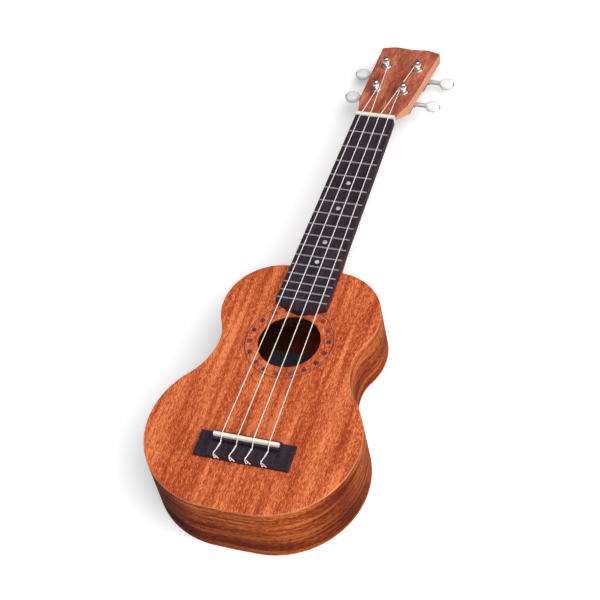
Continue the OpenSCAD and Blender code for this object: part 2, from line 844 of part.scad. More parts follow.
module worm_shaft(i) {
    color(dark_metal) place() at_tuner(i) difference() {
        union() {
            along_shaft(-case_x + 0.6, -4, journal_r);
            along_shaft(-4.2, 4.2, worm_root_r);
            thread();
            along_shaft(4.1, button_x0 - gap, shaft_r);
            along_shaft(button_x0 - 1, stub_x, stub_r);
        }
        along_shaft(stub_x - 3, stub_x + 1, pin_r + gap);
    }
}

// Flat oval, cut from two large balls so that it is thicker in the middle
module button_body() {
    mid = button_x0 + button_len / 2;
    ball_r = 14;
    intersection() {
        translate([0, 0, shaft_w - button_thick / 2]) linear_extrude(button_thick)
            for (s = [-1, 1]) {
                translate([mid, centre_d + s * (button_wide - button_len) / 2]) circle(button_len / 2);
                translate([button_x0, centre_d - (button_wide - button_len) / 2])
                    square([button_len, button_wide - button_len]);
            }
        for (s = [-1, 1])
            translate([mid, centre_d, shaft_w + s * (ball_r - button_thick / 2)]) sphere(ball_r, $fn = 64);
    }
}

module tuner_button(i) {
    color(pearl) place() at_tuner(i) difference() {
        union() {
            button_body();
            along_shaft(button_x0, button_x0 + 3, 2.2);
        }
        along_shaft(button_x0 - 1, stub_x + 0.5, stub_r + gap);
        along_shaft(stub_x, button_x0 + button_len + 1, pin_r + 0.1);
        along_shaft(button_x0 + button_len - 0.9, button_x0 + button_len + 1, 1.75);
    }
}

module button_screw(i) {
    color(metal) place() at_tuner(i) difference() {
        union() {
            along_shaft(stub_x - 2.8, button_x0 + button_len, pin_r);
            along_shaft(button_x0 + button_len - 0.88, button_x0 + button_len + 0.3, 1.7);
        }
        translate([button_x0 + button_len - 0.2, centre_d - 0.22, shaft_w - 2]) cube([1, 0.44, 4]);
    }
}

post_top = 9.2;
post_low = shaft_w - gear_t / 2;
square_half = 1.25;
gear_pin_r = 0.7;

module string_post(i) {
    color(metal) place() at_tuner(i) difference() {
        union() {
            rotate_extrude($fn = 48)
                polygon([[0, plate_low - 0.1], [post_r, plate_low - 0.1], [post_r, 3.2], [waist_r, 3.5],
                    [waist_r, 6.3], [post_r, 6.7], [post_r, post_top - 0.6], [post_r - 0.6, post_top],
                    [0, post_top]]);
            translate([-square_half, -square_half, post_low])
                cube([2 * square_half, 2 * square_half, plate_low - post_low]);
        }
        translate([0, 0, 7.6]) rotate([90, 0, 0]) cylinder(h = 20, r = 0.6, center = true);
        translate([0, 0, post_low - 1]) cylinder(h = 4, r = gear_pin_r + gap);
    }
}

// A tooth centred on +x
tooth_2d = [[gear_root_r - 0.3, 0.46], [gear_root_r, 0.42], [gear_tip_r, 0.17]];

module worm_gear(i) {
    color([0.75, 0.62, 0.32]) place() at_tuner(i) translate([0, 0, post_low]) difference() {
        union() {
            cylinder(h = gear_t, r = gear_root_r);
            for (k = [0 : gear_teeth - 1])
                rotate(90 + (k + 0.5) * 360 / gear_teeth)
                    linear_extrude(gear_t) polygon(concat(tooth_2d,
                        [for (j = [2 : -1 : 0]) [tooth_2d[j][0], -tooth_2d[j][1]]]));
        }
        translate([-square_half - gap, -square_half - gap, -1])
            cube([2 * (square_half + gap), 2 * (square_half + gap), gear_t + 2]);
    }
}

module gear_screw(i) {
    color(dark_metal) place() at_tuner(i) {
        translate([0, 0, post_low - gap - 0.7]) cylinder(h = 0.7, r = 1.9);
        translate([0, 0, post_low - 0.2]) cylinder(h = 2.9, r = gear_pin_r);
    }
}

// ---- Output -------------------------------------------------------------------------------
soundboard();
back();
rib(-1);  // side_bass
rib(1);  // side_treble
top_linings();
back_linings();
neck_block();
tail_block();
upper_brace();
lower_brace();
fan_braces();
bridge_plate();
back_braces();
label();
rosette_tiles();
rosette_ring();
neck();
neck_dowels();
fretboard();
frets();
position_dots();
nut();
bridge();
saddle();
string(0);  // string_g
string(1);  // string_c
string(2);  // string_e
string(3);  // string_a
tuner_case(0);  // tuner_case_g
tuner_case(1);  // tuner_case_c
tuner_case(2);  // tuner_case_e
tuner_case(3);  // tuner_case_a
tuner_covers();
bushings();
washers();
case_screws();
worm_shaft(0);  // worm_shaft_g
worm_shaft(1);  // worm_shaft_c
worm_shaft(2);  // worm_shaft_e
worm_shaft(3);  // worm_shaft_a
tuner_button(0);  // tuner_button_g
tuner_button(1);  // tuner_button_c
tuner_button(2);  // tuner_button_e
tuner_button(3);  // tuner_button_a
button_screw(0);  // button_screw_g
button_screw(1);  // button_screw_c
button_screw(2);  // button_screw_e
button_screw(3);  // button_screw_a
string_post(0);  // string_post_g
string_post(1);  // string_post_c
string_post(2);  // string_post_e
string_post(3);  // string_post_a
worm_gear(0);  // worm_gear_g
worm_gear(1);  // worm_gear_c
worm_gear(2);  // worm_gear_e
worm_gear(3);  // worm_gear_a
gear_screw(0);  // gear_screw_g
gear_screw(1);  // gear_screw_c
gear_screw(2);  // gear_screw_e
gear_screw(3);  // gear_screw_a
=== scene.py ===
"""Soprano ukulele: the looks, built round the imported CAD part.

Everything is in metres in the row frame: +X to the treble side, +Y from the body to the headstock and
+Z up from the back to the soundboard. Places come from the CAD nodes' own meshes and from the joints.
"""

import json
import math

import bmesh
import bpy
from mathutils import Matrix, Vector


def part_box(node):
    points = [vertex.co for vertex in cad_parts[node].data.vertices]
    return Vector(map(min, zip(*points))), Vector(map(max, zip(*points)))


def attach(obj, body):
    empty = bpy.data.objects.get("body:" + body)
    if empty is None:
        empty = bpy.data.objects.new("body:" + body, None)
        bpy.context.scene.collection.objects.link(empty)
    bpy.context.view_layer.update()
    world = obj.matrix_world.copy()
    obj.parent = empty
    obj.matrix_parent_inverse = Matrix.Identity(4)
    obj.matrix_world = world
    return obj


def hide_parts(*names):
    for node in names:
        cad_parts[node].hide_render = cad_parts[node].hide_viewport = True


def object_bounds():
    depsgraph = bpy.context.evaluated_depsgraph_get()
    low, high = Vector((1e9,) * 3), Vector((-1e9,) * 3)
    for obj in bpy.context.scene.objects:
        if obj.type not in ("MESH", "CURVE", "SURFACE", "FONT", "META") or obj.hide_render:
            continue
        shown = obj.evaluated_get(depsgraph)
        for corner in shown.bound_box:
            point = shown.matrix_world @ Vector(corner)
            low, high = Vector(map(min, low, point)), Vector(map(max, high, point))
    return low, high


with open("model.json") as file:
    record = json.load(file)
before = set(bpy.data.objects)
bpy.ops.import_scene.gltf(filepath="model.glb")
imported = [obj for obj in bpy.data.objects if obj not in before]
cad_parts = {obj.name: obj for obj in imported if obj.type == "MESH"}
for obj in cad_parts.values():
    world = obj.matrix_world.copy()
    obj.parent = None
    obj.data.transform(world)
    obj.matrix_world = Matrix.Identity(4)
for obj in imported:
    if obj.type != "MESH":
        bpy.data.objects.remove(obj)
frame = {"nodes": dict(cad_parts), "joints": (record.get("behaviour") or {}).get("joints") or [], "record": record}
CAD_LOW, CAD_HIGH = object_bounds()
NODES = frame["nodes"]
JOINTS = {joint["name"]: joint for joint in frame["joints"]}
MM = 0.001
STRINGS = ["g", "c", "e", "a"]


# ---- Instrument frame ----------------------------------------------------------------------------
# Origin on the soundboard's top face at the neck end, y along the top, z out of it.


def instrument_frame():
    """The frame's matrix, from the two ends of the soundboard's top face."""
    points = [v.co for v in NODES["soundboard"].data.vertices]
    tail = max(points, key=lambda p: p.z)
    end = max(points, key=lambda p: p.y)
    taper = math.atan2(tail.z - end.z, end.y - tail.y)
    return Matrix.Translation((0, end.y, end.z)) @ Matrix.Rotation(-taper, 4, "X")


TO_ROW = instrument_frame()
TO_INSTRUMENT = TO_ROW.inverted()


def points_of(name):
    """The corners of a CAD node's mesh in the instrument frame."""
    return [TO_INSTRUMENT @ v.co for v in NODES[name].data.vertices]


def extent(name):
    """Lowest and highest corner of a CAD node in the instrument frame."""
    points = points_of(name)
    low = Vector(min(p[k] for p in points) for k in range(3))
    high = Vector(max(p[k] for p in points) for k in range(3))
    return low, high


# ---- Shader building -----------------------------------------------------------------------------


def new_material(name):
    """An empty node material with its output and a Principled shader."""
    material = bpy.data.materials.new(name)
    material.use_nodes = True
    tree = material.node_tree
    tree.nodes.clear()
    output = tree.nodes.new("ShaderNodeOutputMaterial")
    shader = tree.nodes.new("ShaderNodeBsdfPrincipled")
    tree.links.new(shader.outputs[0], output.inputs["Surface"])
    return material, tree, shader


def connect(tree, socket, value):
    """Puts a number, a colour or another node's output into a socket."""
    if isinstance(value, bpy.types.NodeSocket):
        tree.links.new(value, socket)
    elif isinstance(value, (tuple, list)) and len(value) == 3 and socket.type == "RGBA":
        socket.default_value = (*value, 1)
    else:
        socket.default_value = value


def node(tree, kind, *values, out=0, **settings):
    """Adds one shader node, fills its inputs in order and returns one of its outputs."""
    made = tree.nodes.new("ShaderNode" + kind)
    for key, value in settings.items():
        setattr(made, key, value)
    for socket, value in zip(made.inputs, values):
        if value is not None:
            connect(tree, socket, value)
    return made.outputs[out]


def place_in(tree, stretch, shift=(0, 0, 0)):
    """Row-frame position, in metres, moved by shift and scaled by stretch."""
    position = node(tree, "TexCoord", out=3)
    moved = node(tree, "VectorMath", position, shift, operation="ADD")
    return node(tree, "VectorMath", moved, stretch, operation="MULTIPLY")


def here(tree):
    """Row-frame position, in metres."""
    return place_in(tree, (1, 1, 1))


def coordinate(tree, axis):
    """One coordinate of the row-frame position."""
    return node(tree, "SeparateXYZ", here(tree), out=axis)


def noise(tree, vector, scale, detail=2.0, rough=0.5):
    """Noise from 0 to 1 of features about 1 / scale metres wide."""
    made = tree.nodes.new("ShaderNodeTexNoise")
    connect(tree, made.inputs["Vector"], vector)
    made.inputs["Scale"].default_value = scale
    made.inputs["Detail"].default_value = detail
    made.inputs["Roughness"].default_value = rough
    return made.outputs[0]


def span(tree, value, low, high, to_low=0.0, to_high=1.0):
    """Maps low..high to to_low..to_high and stops at the ends."""
    return node(tree, "MapRange", value, low, high, to_low, to_high)


def maths(tree, operation, a, b=None):
    """One operation on one or two values."""
    return node(tree, "Math", a, b, operation=operation)


def blend_colour(tree, share, a, b, mode="MIX"):
    """Colour a at share 0 and b at share 1, or b laid over a in another blend mode."""
    made = tree.nodes.new("ShaderNodeMix")
    made.data_type = "RGBA"
    made.blend_type = mode
    connect(tree, made.inputs[0], share)
    connect(tree, made.inputs[6], a)
    connect(tree, made.inputs[7], b)
    return made.outputs[2]


def bump(tree, shader, height, distance, strength=1.0):
    """Relief of the height map, distance metres deep."""
    made = tree.nodes.new("ShaderNodeBump")
    made.inputs["Strength"].default_value = strength
    made.inputs["Distance"].default_value = distance
    connect(tree, made.inputs["Height"], height)
    tree.links.new(made.outputs[0], shader.inputs["Normal"])


def let_light_in(shader, weight, radius):
    """Lets a share of the light into the material, radius metres deep in red, green and blue."""
    shader.inputs["Subsurface Weight"].default_value = weight
    shader.inputs["Subsurface Radius"].default_value = radius


def finish(shader, tree, colour, rough, metal=0.0, coat=0.0, specular=0.5):
    """Fills in the shader's colour and its gloss."""
    connect(tree, shader.inputs["Base Color"], colour)
    connect(tree, shader.inputs["Roughness"], rough)
    shader.inputs["Metallic"].default_value = metal
    shader.inputs["Coat Weight"].default_value = coat
    shader.inputs["Coat Roughness"].default_value = 0.25
    shader.inputs["Specular IOR Level"].default_value = specular


# ---- Materials -----------------------------------------------------------------------------------
# How the fibres squeeze each axis: along the instrument, and round the rib
LENGTHWISE = (1, 0.05, 1)
AROUND = (0.045, 0.045, 1)
RIBBONS_PER_METRE = 90
STREAKS_PER_METRE = 300
PORES_PER_METRE = 2000
# How far the fibres wander off straight, and how slowly along their length
SWAY = (0.010, 0.010, 0.004)
SWAY_SQUEEZE = 0.12
# How much shorter a pore is than a streak of the same width
PORE_SHORTNESS = 3
TAIL_CORNER = min(v.co.y for v in NODES["soundboard"].data.vertices) + 45 * MM
TAIL_FADE = 30 * MM
# Shift of the rib's painted corner shade to the treble side, so that the bass one starts nearer the middle
CORNER_SHIFT = 14 * MM
ROSETTE_REACH = 40 * MM
HEADSTOCK_START = 0.28
HEADSTOCK_FADE = 20 * MM


def around_middle(tree, value, gain):
    """A noise's swing about its middle, times gain."""
    return maths(tree, "MULTIPLY", maths(tree, "SUBTRACT", value, 0.5), gain)


def three_tones(tree, tone, dark, middle, pale):
    """dark at tone 0, middle at 0.5 and pale at 1."""
    lower = blend_colour(tree, span(tree, tone, 0, 0.5), dark, middle)
    return blend_colour(tree, span(tree, tone, 0.5, 1), lower, pale)


def wood(name, tones, grain, shift=(0, 0, 0), ribbon=1.0, streak=0.8, fleck=1.5, wear_and_painted_light=None):
    """Open-pored mahogany: wide soft ribbons, narrow streaks and short bright or dark pores.
    grain squeezes the axes that the fibres follow; the last argument is a function that paints light or shade into
    the finished colour."""
    material, tree, shader = new_material(name)
    soft = place_in(tree, [1 if g == 1 else SWAY_SQUEEZE for g in grain], shift)
    sway = node(tree, "VectorMath", node(tree, "TexNoise", soft, None, 16.0, 1.0, out=1),
                (0.5, 0.5, 0.5), operation="SUBTRACT")
    bent = node(tree, "VectorMath", sway, SWAY, operation="MULTIPLY")
    position = node(tree, "VectorMath", place_in(tree, (1, 1, 1), shift), bent, operation="ADD")
    fibres = node(tree, "VectorMath", position, grain, operation="MULTIPLY")
    short = node(tree, "VectorMath", position, [1 if g == 1 else g * PORE_SHORTNESS for g in grain],
                 operation="MULTIPLY")
    ribbons = noise(tree, fibres, RIBBONS_PER_METRE, 2.0)
    streaks = noise(tree, fibres, STREAKS_PER_METRE, 3.0, 0.6)
    pores = noise(tree, short, PORES_PER_METRE, 3.0, 0.7)
    tone = maths(tree, "ADD", around_middle(tree, ribbons, ribbon), 0.5)
    tone = maths(tree, "ADD", tone, around_middle(tree, streaks, streak))
    tone = maths(tree, "ADD", tone, around_middle(tree, pores, fleck))
    colour = three_tones(tree, tone, *tones)
    if wear_and_painted_light:
        colour = wear_and_painted_light(tree, colour)
    finish(shader, tree, colour, span(tree, streaks, 0.3, 0.7, 0.58, 0.45), specular=0.2)
    bump(tree, shader, maths(tree, "ADD", pores, maths(tree, "MULTIPLY", streaks, 0.5)), 0.00005, 0.6)
    return material


def facing(tree, axis):
    """How far a face looks along a row-frame axis, from -1 to 1."""
    return node(tree, "SeparateXYZ", node(tree, "NewGeometry", out=3), out=axis)


def multiply(tree, share, colour, tint):
    """Colour times tint where share is 1."""
    return blend_colour(tree, share, colour, blend_colour(tree, 1.0, colour, tint, "MULTIPLY"))


def painted_rim_highlight(tree, colour):
    """A painted highlight makes the soundboard's rim pale; the rosette's pockets are left out."""
    low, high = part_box("rosette_ring")
    from_hole = node(tree, "VectorMath", here(tree), (low + high) / 2, out=1, operation="DISTANCE")
    outside = span(tree, from_hole, ROSETTE_REACH, ROSETTE_REACH + MM)
    edge = maths(tree, "MULTIPLY", span(tree, facing(tree, 2), 0.97, 0.9), outside)
    return blend_colour(tree, maths(tree, "MULTIPLY", edge, 0.45), colour, (0.84, 0.40, 0.19))


def painted_box_shade(tree, colour):
    """Painted shade dims the back's inner face, most of all on the bass side."""
    inner = span(tree, facing(tree, 2), 0.3, 0.6)
    bass = span(tree, coordinate(tree, 0), 12 * MM, -22 * MM)
    colour = multiply(tree, inner, colour, (0.40, 0.30, 0.36))
    return multiply(tree, maths(tree, "MULTIPLY", inner, bass), colour, (0.25, 0.35, 0.70))


def painted_rib_shade(tree, colour):
    """Painted shade: the rib gets darker towards the back and at the two corners of its tail end."""
    colour = multiply(tree, span(tree, coordinate(tree, 2), 50 * MM, 0.0), colour, (0.60, 0.48, 0.42))
    sideways = maths(tree, "ABSOLUTE", maths(tree, "SUBTRACT", coordinate(tree, 0), CORNER_SHIFT))
    tailwards = span(tree, coordinate(tree, 1), TAIL_CORNER + TAIL_FADE, TAIL_CORNER)
    corner = maths(tree, "MULTIPLY", span(tree, sideways, 40 * MM, 66 * MM), tailwards)
    return multiply(tree, corner, colour, (0.44, 0.30, 0.24))


def painted_flank_highlight(tree, colour):
    """Painted highlight: the headstock's sides are paler than its face."""
    sideways = span(tree, maths(tree, "ABSOLUTE", facing(tree, 0)), 0.45, 0.75)
    upper = span(tree, coordinate(tree, 1), HEADSTOCK_START, HEADSTOCK_START + HEADSTOCK_FADE)
    edge = maths(tree, "MULTIPLY", sideways, upper)
    return blend_colour(tree, maths(tree, "MULTIPLY", edge, 0.6), colour, (0.92, 0.48, 0.29))


def plain_wood(name, pale, dark, grain):
    """Unfinished pale wood inside the box."""
    material, tree, shader = new_material(name)
    rings = noise(tree, place_in(tree, grain), 700, 3.0, 0.6)
    colour = blend_colour(tree, span(tree, rings, 0.35, 0.65), pale, dark)
    finish(shader, tree, colour, span(tree, rings, 0.3, 0.7, 0.6, 0.75))
    bump(tree, shader, rings, 0.0001, 0.5)
    return material


def black_wood(name):
    """Dense dark fingerboard wood with purple-brown streaks and fine pores."""
    material, tree, shader = new_material(name)
    fibres = place_in(tree, (1, 0.04, 1))
    streaks = span(tree, noise(tree, fibres, 500, 3.0, 0.6), 0.3, 0.7)
    pores = span(tree, noise(tree, place_in(tree, (1, 0.15, 1)), 2200, 1.0), 0.58, 0.7)
    colour = blend_colour(tree, streaks, (0.014, 0.008, 0.014), (0.040, 0.025, 0.038))
    colour = blend_colour(tree, maths(tree, "MULTIPLY", pores, 0.4), colour, (0.09, 0.065, 0.075))
    finish(shader, tree, colour, span(tree, streaks, 0, 1, 0.42, 0.55), specular=0.3)
    bump(tree, shader, maths(tree, "SUBTRACT", streaks, pores), 0.00005, 0.6)
    return material


def metal(name, colour, low, high, metallic=1.0):
    """Plated or bare metal with faint smears and fine scratches."""
    material, tree, shader = new_material(name)
    smears = noise(tree, here(tree), 260, 3.0, 0.6)
    scratches = noise(tree, place_in(tree, (1, 0.1, 0.4)), 4000, 2.0)
    dull = [0.88 * c for c in colour]
    tone = blend_colour(tree, span(tree, smears, 0.35, 0.7), colour, dull)
    finish(shader, tree, tone, span(tree, smears, 0.3, 0.7, low, high), metallic)
    bump(tree, shader, scratches, 0.00001, 0.5)
    return material


def bone(name, colour, mottle):
    """Cream plastic or bone with a faint mottle."""
    material, tree, shader = new_material(name)
    cloud = noise(tree, here(tree), 180, 3.0, 0.55)
    tone = blend_colour(tree, span(tree, cloud, 0.35, 0.7), colour, mottle)
    finish(shader, tree, tone, span(tree, cloud, 0.3, 0.7, 0.28, 0.4), coat=0.2)
    let_light_in(shader, 0.15, (0.002, 0.0015, 0.001))
    bump(tree, shader, noise(tree, here(tree), 1800, 2.0), 0.00001, 0.4)
    return material


def pearl(name, grey, white, glow):
    """Pearloid: milky plastic with folded grey and white veils that passes a little light. A faint glow of its own
    is painted light, and the greyer outline at grazing angles is painted shade.
    """
    material, tree, shader = new_material(name)
    warp = node(tree, "TexNoise", here(tree), None, 90.0, 2.0, out=1)
    folded = node(tree, "VectorMath", here(tree),
                  node(tree, "VectorMath", warp, (0.012, 0.012, 0.012), operation="MULTIPLY"),
                  operation="ADD")
    veils = span(tree, noise(tree, folded, 260, 2.0), 0.38, 0.62)
    colour = blend_colour(tree, veils, grey, white)
    # Painted shade: the colour turns dark grey where the surface turns away from the view, drawing an outline
    rim = span(tree, node(tree, "LayerWeight", 0.3, out=1), 0.35, 0.85)
    colour = blend_colour(tree, rim, colour, [c * 0.4 for c in grey])
    finish(shader, tree, colour, span(tree, veils, 0, 1, 0.16, 0.24), coat=0.5)
    # Painted light: the plastic glows a little by itself, as much as glow says
    shader.inputs["Emission Color"].default_value = (1, 1, 1, 1)
    shader.inputs["Emission Strength"].default_value = glow
    let_light_in(shader, 0.12, (0.003, 0.003, 0.003))
    bump(tree, shader, veils, 0.00002, 0.3)
    return material


def nylon(name):
    """Clear-white nylon cord."""
    material, tree, shader = new_material(name)
    wear_and_painted_light = noise(tree, place_in(tree, (1, 0.2, 1)), 900, 2.0)
    colour = blend_colour(tree, span(tree, wear_and_painted_light, 0.3, 0.7), (0.90, 0.80, 0.76), (0.97, 0.91, 0.88))
    finish(shader, tree, colour, span(tree, wear_and_painted_light, 0.3, 0.7, 0.2, 0.34), coat=0.3)
    let_light_in(shader, 0.3, (0.001, 0.001, 0.001))
    bump(tree, shader, wear_and_painted_light, 0.00001, 0.3)
    return material


def paper(name):
    """Blank label paper, grey and dim inside the box."""
    material, tree, shader = new_material(name)
    pulp = noise(tree, here(tree), 900, 4.0, 0.7)
    colour = blend_colour(tree, span(tree, pulp, 0.35, 0.7), (0.017, 0.018, 0.025), (0.036, 0.038, 0.050))
    finish(shader, tree, colour, span(tree, pulp, 0.3, 0.7, 0.75, 0.9))
    bump(tree, shader, pulp, 0.00003, 0.5)
    return material


TOP_TONES = ((0.30, 0.036, 0.011), (0.57, 0.102, 0.031), (0.90, 0.27, 0.096))
SIDE_TONES = ((0.17, 0.020, 0.006), (0.48, 0.082, 0.014), (0.84, 0.23, 0.052))
NECK_TONES = ((0.22, 0.035, 0.022), (0.44, 0.105, 0.056), (0.72, 0.26, 0.14))
VENEER_TONES = ((0.045, 0.014, 0.020), (0.12, 0.038, 0.052), (0.34, 0.13, 0.14))

MATERIALS = {
    "top_wood": wood("top_wood", TOP_TONES, LENGTHWISE, (0, 0, 0), 1.3, 1.5, 3.8, painted_rim_highlight),
    "side_wood": wood("side_wood", SIDE_TONES, AROUND, (0, 0, 0), 2.2, 3.0, 4.0, painted_rib_shade),
    "back_wood": wood("back_wood", SIDE_TONES, LENGTHWISE, (0.3, 0.1, 0), 1.0, 1.2, 1.4, painted_box_shade),
    "neck_wood": wood("neck_wood", NECK_TONES, LENGTHWISE, (0.7, 0.4, 0), 1.5, 1.6, 2.2, painted_flank_highlight),
    "inner_wood": plain_wood("inner_wood", (0.15, 0.055, 0.032), (0.08, 0.026, 0.014), (1, 1, 0.2)),
    "paper_label": paper("paper_label"),
    "rosette_wood": wood("rosette_wood", VENEER_TONES, (1, 0.6, 1), fleck=3.0),
    "dark_wood": black_wood("dark_wood"),
    "fret_wire": metal("fret_wire", (0.72, 0.72, 0.74), 0.22, 0.36),
    "pearl_dot": pearl("pearl_dot", (0.42, 0.43, 0.45), (0.66, 0.67, 0.68), 0.0),
    "cream_bone": bone("cream_bone", (0.95, 0.89, 0.78), (0.88, 0.80, 0.66)),
    "nylon_string": nylon("nylon_string"),
    "tuner_chrome": metal("tuner_chrome", (0.86, 0.87, 0.89), 0.04, 0.12),
    "satin_chrome": metal("satin_chrome", (0.78, 0.79, 0.81), 0.30, 0.40, metallic=0.55),
    # The buttons' glow of 0.08 is painted light
    "pearl_button": pearl("pearl_button", (0.86, 0.85, 0.84), (0.98, 0.98, 0.98), 0.08),
    "small_steel": metal("small_steel", (0.62, 0.62, 0.64), 0.22, 0.4),
    "gear_brass": metal("gear_brass", (0.80, 0.58, 0.26), 0.22, 0.4),
}


# ---- CAD nodes -----------------------------------------------------------------------------------
EDGE_WIDTHS = {"soundboard": 0.4, "neck": 0.9, "fretboard": 0.2, "bridge": 0.4, "saddle": 0.5,
               "nut": 0.6, "tuner_case": 0.4}
DEFAULT_EDGE = 0.15
SLOTS = {part["node"]: part["material_slot"] for part in frame["record"]["subparts"]}
# Sub-parts that share a slot but are finished differently
LOOKS = {"back": "back_wood", "worm_shaft": "satin_chrome"}


def family(name):
    """A node's name without the letter of its string."""
    return name[:-2] if name[-2:] in ("_g", "_c", "_e", "_a") else name


def soften(part, width):
    """Joins the faces of a CAD node, breaks its edges by width and shades it smooth."""
    part.data.polygons.foreach_set("use_smooth", [True] * len(part.data.polygons))
    part.modifiers.new("join", "WELD").merge_threshold = 1e-6
    edge = part.modifiers.new("edges", "BEVEL")
    edge.width = width
    edge.segments = 2
    edge.limit_method = "ANGLE"
    edge.angle_limit = math.radians(28)
    edge.use_clamp_overlap = True
    shade = part.modifiers.new("shade", "WEIGHTED_NORMAL")
    shade.keep_sharp = False


# ---- Camera, light and floor ---------------------------------------------------------------------
# The camera stands in the instrument frame, so that the body's taper doesn't move it
CAMERA_AZIMUTH = 28.9
CAMERA_ELEVATION = 50.29
CAMERA_ROLL = 14.0
CAMERA_DISTANCE = 1.492
CAMERA_LENS = 109.35
CAMERA_TARGET = Vector((-0.0042, -0.0340, 0.0001))
FLOOR_HALF = 20.0
FLOOR_GAP = 0.2 * MM


def add_object(name, data):
    """A new object with its mesh or camera, linked into the scene."""
    made = bpy.data.objects.new(name, data)
    bpy.context.scene.collection.objects.link(made)
    return made


def direction(azimuth, elevation):
    """Unit vector from the object towards a viewer; azimuth 0 stands at -Y and 90 at +X."""
    a, e = math.radians(azimuth), math.radians(elevation)
    return Vector((math.sin(a) * math.cos(e), -math.cos(a) * math.cos(e), math.sin(e)))


def make_camera():
    """Places the camera and makes it the scene's own."""
    back = direction(CAMERA_AZIMUTH, CAMERA_ELEVATION)
    level = Vector((0, 0, 1)).cross(back).normalized()
    turn = Matrix.Rotation(math.radians(-CAMERA_ROLL), 3, back)
    right = turn @ level
    up = back.cross(right)
    camera = add_object("camera", bpy.data.cameras.new("camera"))
    camera.data.lens = CAMERA_LENS
    aim = Matrix((right, up, back)).transposed().to_4x4()
    camera.matrix_world = TO_ROW @ Matrix.Translation(CAMERA_TARGET + back * CAMERA_DISTANCE) @ aim
    bpy.context.scene.camera = camera


def make_world(towards, base, lobe, narrow):
    """A grey studio with one wide soft light round the direction towards."""
    world = bpy.data.worlds.new("world")
    world.use_nodes = True
    tree = world.node_tree
    looking = node(tree, "VectorMath", node(tree, "TexCoord", out=0), towards, out=1,
                   operation="DOT_PRODUCT")
    glow = maths(tree, "POWER", span(tree, looking, 0, 1), narrow)
    strength = maths(tree, "ADD", maths(tree, "MULTIPLY", glow, lobe), base)
    connect(tree, tree.nodes["Background"].inputs["Strength"], strength)
    connect(tree, tree.nodes["Background"].inputs["Color"], (1.0, 1.0, 1.0))
    bpy.context.scene.world = world


def make_floor():
    """A wide pale floor under the back plate. It lights the object from below less than it shows."""
    mesh = bpy.data.meshes.new("floor")
    corners = [(FLOOR_HALF * x, FLOOR_HALF * y, 0) for x, y in ((-1, -1), (1, -1), (1, 1), (-1, 1))]
    mesh.from_pydata(corners, [], [(0, 1, 2, 3)])
    floor = add_object("floor", mesh)
    floor.location.z = CAD_LOW.z - FLOOR_GAP
    material, tree, shader = new_material("floor_paper")
    grain = noise(tree, here(tree), 300, 2.0)
    colour = blend_colour(tree, grain, (0.94, 0.94, 0.94), (0.97, 0.97, 0.97))
    seen = node(tree, "LightPath", out=0)
    finish(shader, tree, blend_colour(tree, seen, (0.28, 0.27, 0.26), colour), 0.9, specular=0.0)
    connect(tree, shader.inputs["Emission Color"], (1.0, 1.0, 1.0))
    connect(tree, shader.inputs["Emission Strength"], maths(tree, "MULTIPLY", seen, 0.25))
    mesh.materials.append(material)


# ---- Strings -------------------------------------------------------------------------------------
STRING_RADIUS = 0.36 * MM
STRING_SIDES = 12
COIL_TURNS = 2.25
COIL_STEPS = 28
COIL_PITCH = 2 * STRING_RADIUS + 0.06 * MM
# Nothing of a string but its coils lies this near its post's axis
POST_REACH = 4 * MM
SADDLE_BEND = 48
SADDLE_STEPS = 8
SADDLE_CLEAR = 0.03 * MM
# Side of the headstock that each string's post stands on
POST_SIDE = {"g": -1, "c": -1, "e": 1, "a": 1}


def smooth_line(points, steps):
    """A smooth line through the points."""
    ends = [2 * points[0] - points[1], *points, 2 * points[-1] - points[-2]]
    line = []
    for a, b, c, d in zip(ends, ends[1:], ends[2:], ends[3:]):
        for k in range(steps):
            t = k / steps
            line.append((2 * b + (c - a) * t + (2 * a - 5 * b + 4 * c - d) * t ** 2
                         + (3 * b - a - 3 * c + d) * t ** 3) / 2)
    return [*line, points[-1]]


def cord(name, path, radius):
    """A round rod along a path that is given in the instrument frame."""
    rings = []
    side = Vector((0.3, 0.2, 1))
    for k, point in enumerate(path):
        heading = (path[min(k + 1, len(path) - 1)] - path[max(k - 1, 0)]).normalized()
        side = (side - heading * side.dot(heading)).normalized()
        across = heading.cross(side)
        turns = [2 * math.pi * j / STRING_SIDES for j in range(STRING_SIDES)]
        rings.append([TO_ROW @ (point + radius * (side * math.cos(a) + across * math.sin(a)))
                      for a in turns])
    n = STRING_SIDES
    faces = [tuple(reversed(range(n))), tuple(range(len(rings) * n - n, len(rings) * n))]
    for k in range(len(rings) - 1):
        for j in range(n):
            low, high = k * n + j, k * n + (j + 1) % n
            faces.append((low, high, high + n, low + n))
    mesh = bpy.data.meshes.new(name)
    mesh.from_pydata([p for ring in rings for p in ring], [], faces)
    mesh.polygons.foreach_set("use_smooth", [True] * len(faces))
    return add_object(name, mesh)


def stand_in(piece, name, body):
    """Gives a piece the material slot of the CAD node that it replaces, and the body that it rides."""
    piece.data.materials.append(MATERIALS[SLOTS[name]])
    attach(piece, body)
    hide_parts(name)


def middle_of(points):
    """Centre of the box round some points."""
    return Vector((min(p[k] for p in points) + max(p[k] for p in points)) / 2 for k in range(3))


